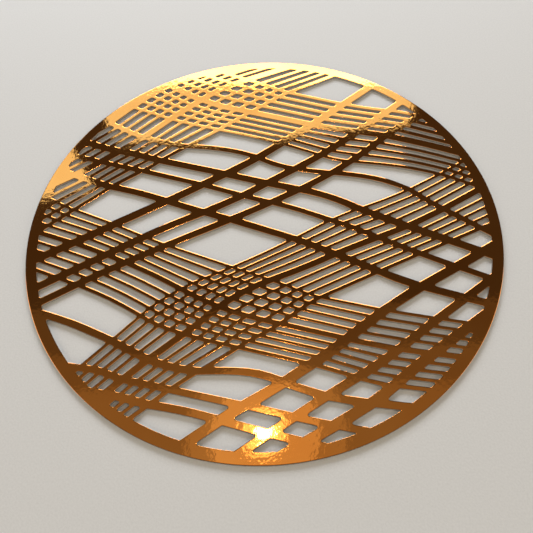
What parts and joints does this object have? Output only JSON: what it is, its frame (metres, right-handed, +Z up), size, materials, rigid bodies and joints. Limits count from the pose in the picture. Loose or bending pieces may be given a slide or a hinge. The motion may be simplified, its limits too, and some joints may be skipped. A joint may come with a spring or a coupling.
{
  "type": "openwork copper foil disc",
  "caption": "Flat round disc of self-adhesive copper foil on its backing card, cut through with a lattice of two crossing families of flowing bars inside a plain rim.",
  "frame": {"origin": "centre of the disc on its underside", "axes": "+Z up, out of the copper face; +X to the right and +Y away from the viewer"},
  "size_m": [0.3, 0.3, 0.0018],
  "materials": {
    "card": "matt grey board with a release coat",
    "copper": "polished bare copper"
  },
  "bodies": {
    "card": {"backing_card": "card"},
    "foil": {"copper_foil": "copper"}
  },
  "joints": [
    {"name": "foil_lift", "type": "slide", "parent": "card", "child": "foil", "axis": [0, 0, 1], "range_m": [0, 0.02]}
  ]
}
